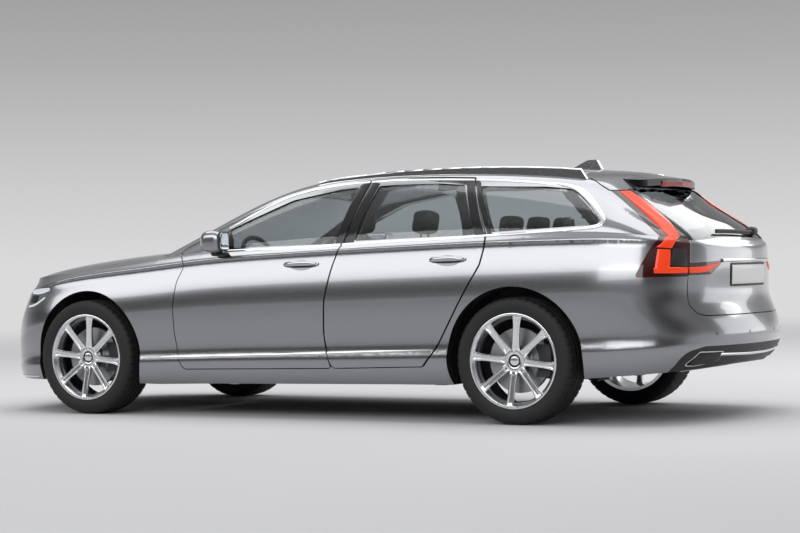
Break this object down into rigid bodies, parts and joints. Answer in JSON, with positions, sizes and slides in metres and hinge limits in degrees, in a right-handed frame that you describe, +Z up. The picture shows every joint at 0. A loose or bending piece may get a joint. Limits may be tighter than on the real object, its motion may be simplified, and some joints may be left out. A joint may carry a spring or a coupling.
{
  "type": "station wagon",
  "caption": "Long-roof passenger car with four side doors, a sloping glazed tailgate, roof rails and open-spoke alloy wheels; doors, bonnet, tailgate and steering move.",
  "frame": {"origin": "on the ground below the middle of the car", "axes": "+X forward, +Y to the car's left, +Z up"},
  "size_m": [4.9314, 2.0696, 1.4837],
  "materials": {
    "paint": "silver metallic paint under clear lacquer",
    "glass": "tinted safety glass",
    "tyre": "black rubber",
    "alloy": "machined and painted alloy",
    "disc_steel": "turned brake steel",
    "cast_metal": "dark cast metal",
    "black_plastic": "black grained plastic",
    "lamp_clear": "clear lamp cover over a dark housing",
    "lamp_red": "red lamp cover",
    "floor_paint": "dark underbody coating",
    "seat_leather": "dark leather",
    "cabin_plastic": "dark grained cabin plastic",
    "cabin_leather": "black leather wrap",
    "carpet": "dark carpet",
    "polished_trim": "polished trim",
    "exhaust_steel": "bare exhaust steel"
  },
  "bodies": {
    "shell": {"quarter_glass": "glass", "roof_panel": "paint", "windscreen": "glass", "rear_bumper": "paint", "rear_valance": "black_plastic", "exhaust_tips": "polished_trim", "front_bumper": "paint", "grille": "black_plastic", "headlamps": "lamp_clear", "tail_lamps": "lamp_red", "scuttle": "black_plastic", "floor_pan": "floor_paint", "engine_block": "cast_metal", "front_axle": "cast_metal", "rear_axle": "cast_metal", "front_seats": "seat_leather", "rear_bench": "seat_leather", "dashboard": "cabin_plastic", "load_floor": "carpet", "roof_rails": "polished_trim", "antenna_fin": "paint", "exhaust": "exhaust_steel", "body_side_left": "paint", "body_side_right": "paint", "front_wing_left": "paint", "front_wing_right": "paint"},
    "bonnet": {"bonnet": "paint"},
    "tailgate": {"tailgate": "paint", "tailgate_glass": "glass", "tailgate_lamps": "lamp_red"},
    "steering_wheel": {"steering_wheel": "cabin_leather"},
    "door_front_left": {"door_front_left": "paint", "door_glass_front_left": "glass", "mirror_left": "paint"},
    "door_rear_left": {"door_rear_left": "paint", "door_glass_rear_left": "glass"},
    "steer_left": {"knuckle_left": "cast_metal"},
    "wheel_front_left": {"tyre_front_left": "tyre", "wheel_front_left": "alloy", "brake_disc_front_left": "disc_steel"},
    "wheel_rear_left": {"tyre_rear_left": "tyre", "wheel_rear_left": "alloy", "brake_disc_rear_left": "disc_steel"},
    "door_front_right": {"door_front_right": "paint", "door_glass_front_right": "glass", "mirror_right": "paint"},
    "door_rear_right": {"door_rear_right": "paint", "door_glass_rear_right": "glass"},
    "steer_right": {"knuckle_right": "cast_metal"},
    "wheel_front_right": {"tyre_front_right": "tyre", "wheel_front_right": "alloy", "brake_disc_front_right": "disc_steel"},
    "wheel_rear_right": {"tyre_rear_right": "tyre", "wheel_rear_right": "alloy", "brake_disc_rear_right": "disc_steel"}
  },
  "joints": [
    {"name": "door_front_left", "type": "hinge", "parent": "shell", "child": "door_front_left", "pos_m": [0.928, 0.938, 0.65], "axis": [0, 0, -1], "range_deg": [0, 68]},
    {"name": "door_rear_left", "type": "hinge", "parent": "shell", "child": "door_rear_left", "pos_m": [-0.1345, 0.938, 0.65], "axis": [0, 0, -1], "range_deg": [0, 66]},
    {"name": "steer_left", "type": "hinge", "parent": "shell", "child": "steer_left", "pos_m": [1.592, 0.749, 0.352], "axis": [0, 0, 1], "range_deg": [-33, 33]},
    {"name": "spin_front_left", "type": "hinge", "parent": "steer_left", "child": "wheel_front_left", "pos_m": [1.592, 0.814, 0.352], "axis": [0, 1, 0], "continuous": true},
    {"name": "spin_rear_left", "type": "hinge", "parent": "shell", "child": "wheel_rear_left", "pos_m": [-1.349, 0.814, 0.352], "axis": [0, 1, 0], "continuous": true},
    {"name": "door_front_right", "type": "hinge", "parent": "shell", "child": "door_front_right", "pos_m": [0.928, -0.938, 0.65], "axis": [0, 0, 1], "range_deg": [0, 68]},
    {"name": "door_rear_right", "type": "hinge", "parent": "shell", "child": "door_rear_right", "pos_m": [-0.1345, -0.938, 0.65], "axis": [0, 0, 1], "range_deg": [0, 66]},
    {"name": "steer_right", "type": "hinge", "parent": "shell", "child": "steer_right", "pos_m": [1.592, -0.749, 0.352], "axis": [0, 0, 1], "range_deg": [-33, 33]},
    {"name": "spin_front_right", "type": "hinge", "parent": "steer_right", "child": "wheel_front_right", "pos_m": [1.592, -0.814, 0.352], "axis": [0, 1, 0], "continuous": true},
    {"name": "spin_rear_right", "type": "hinge", "parent": "shell", "child": "wheel_rear_right", "pos_m": [-1.349, -0.814, 0.352], "axis": [0, 1, 0], "continuous": true},
    {"name": "bonnet_hinge", "type": "hinge", "parent": "shell", "child": "bonnet", "pos_m": [1.15, 0, 1], "axis": [0, -1, 0], "range_deg": [0, 52]},
    {"name": "tailgate_hinge", "type": "hinge", "parent": "shell", "child": "tailgate", "pos_m": [-1.596, 0, 1.43], "axis": [0, 1, 0], "range_deg": [0, 80]},
    {"name": "steering_column", "type": "hinge", "parent": "shell", "child": "steering_wheel", "pos_m": [0.632, 0.38, 0.905], "axis": [-0.922, 0, 0.3872], "range_deg": [-480, 480]}
  ],
  "couplings": [
    {"joint": "steer_right", "follows": "steer_left", "ratio": 1},
    {"joint": "steering_column", "follows": "steer_left", "ratio": 14}
  ]
}
